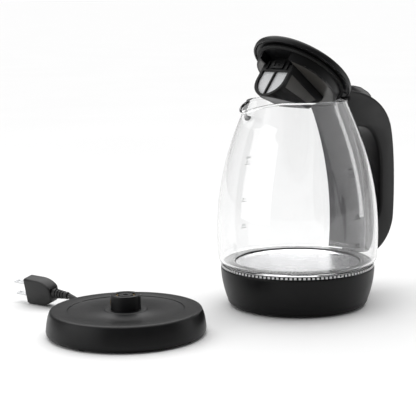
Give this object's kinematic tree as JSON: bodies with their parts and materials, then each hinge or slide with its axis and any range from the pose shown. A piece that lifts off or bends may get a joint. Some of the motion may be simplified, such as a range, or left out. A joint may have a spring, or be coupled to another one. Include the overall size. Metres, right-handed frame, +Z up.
{
  "type": "electric kettle",
  "caption": "Cordless glass electric kettle with an open hinged lid, pouring filter and loop handle, standing beside its round power base with a wound cord and plug.",
  "frame": {"origin": "on the resting surface, under the middle of the kettle and power base's bounding box (the cord and plug left out)", "axes": "+Z up; +X from the power base towards the kettle's handle; the spout points to -X"},
  "size_m": [0.4114, 0.2936, 0.2695],
  "materials": {
    "black_satin": "satin",
    "black_gloss": "gloss",
    "black_matt": "matt",
    "rubber": "matt",
    "silicone": "translucent",
    "mesh": "fine mesh",
    "nylon": "satin",
    "steel": "polished",
    "dark_steel": "satin",
    "plate": "brushed",
    "brass": "polished",
    "glass": "clear"
  },
  "bodies": {
    "power_base": {"base_bottom_cover": "black_matt", "base_foot_1": "rubber", "base_foot_2": "rubber", "base_foot_3": "rubber", "base_foot_4": "rubber", "base_screw_1": "dark_steel", "base_screw_2": "dark_steel", "base_screw_3": "dark_steel", "base_top_shell": "black_satin", "connector_post": "black_satin", "earth_contact": "brass", "contact_ring": "brass", "contact_pin": "brass", "terminal_block": "nylon", "cord_strain_relief": "black_matt", "cord_tail": "black_matt", "cord_coil": "black_matt", "cord_lead": "black_matt", "plug_body": "black_matt", "plug_strain_relief": "black_matt", "plug_blade_upper": "steel", "plug_blade_lower": "steel"},
    "kettle": {"base_housing": "black_satin", "button_spring": "steel", "glass_jug": "glass", "handle_inner_cover": "black_gloss", "handle_outer_shell": "black_satin", "handle_strap": "black_satin", "heat_spreader": "dark_steel", "heater_plate": "plate", "heating_element": "dark_steel", "hinge_pin": "steel", "housing_bottom_cover": "black_matt", "housing_screw_1": "dark_steel", "housing_screw_2": "dark_steel", "housing_screw_3": "dark_steel", "jug_seal_ring": "silicone", "kettle_connector_socket": "black_matt", "kettle_foot_1": "rubber", "kettle_foot_2": "rubber", "kettle_foot_3": "rubber", "lid_hinge_bracket": "black_satin", "lid_spring": "steel", "steam_tube": "nylon", "switch_pivot_pin": "steel", "thermostat_control": "nylon"},
    "lid": {"lid_cover": "black_satin", "lid_catch": "steel", "lid_skirt": "black_matt", "lid_seal": "rubber"},
    "filter": {"filter_frame": "black_matt", "filter_mesh_front": "mesh"},
    "button": {"release_button": "black_gloss"},
    "latch": {"lid_latch": "nylon"},
    "lever": {"switch_lever": "black_gloss"}
  },
  "joints": [
    {"name": "kettle_lift", "type": "slide", "parent": "power_base", "child": "kettle", "axis": [0, 0, 1], "range_m": [0, 0.15]},
    {"name": "lid_hinge", "type": "hinge", "parent": "kettle", "child": "lid", "pos_m": [0.10931, -0.01025, 0.2114], "axis": [0, 1, 0], "range_deg": [-38.5, 0], "stiffness_Nm_per_rad": 0.07, "springref_deg": 34.38},
    {"name": "filter_pull", "type": "slide", "parent": "lid", "child": "filter", "axis": [-0.6225, 0, -0.7826], "range_m": [0, 0.008]},
    {"name": "release_button_press", "type": "slide", "parent": "kettle", "child": "button", "axis": [0, 0, -1], "range_m": [0, 0.0025], "stiffness_N_per_m": 400, "springref_m": -0.002, "deforming": ["button_spring"]},
    {"name": "lid_latch_slide", "type": "slide", "parent": "kettle", "child": "latch", "axis": [1, 0, 0], "range_m": [0, 0.002]},
    {"name": "switch_lever_hinge", "type": "hinge", "parent": "kettle", "child": "lever", "pos_m": [0.13811, -0.01025, 0.019], "axis": [0, 1, 0], "range_deg": [0, 12]}
  ],
  "couplings": [
    {"joint": "lid_latch_slide", "follows": "release_button_press", "ratio": 0.8}
  ]
}
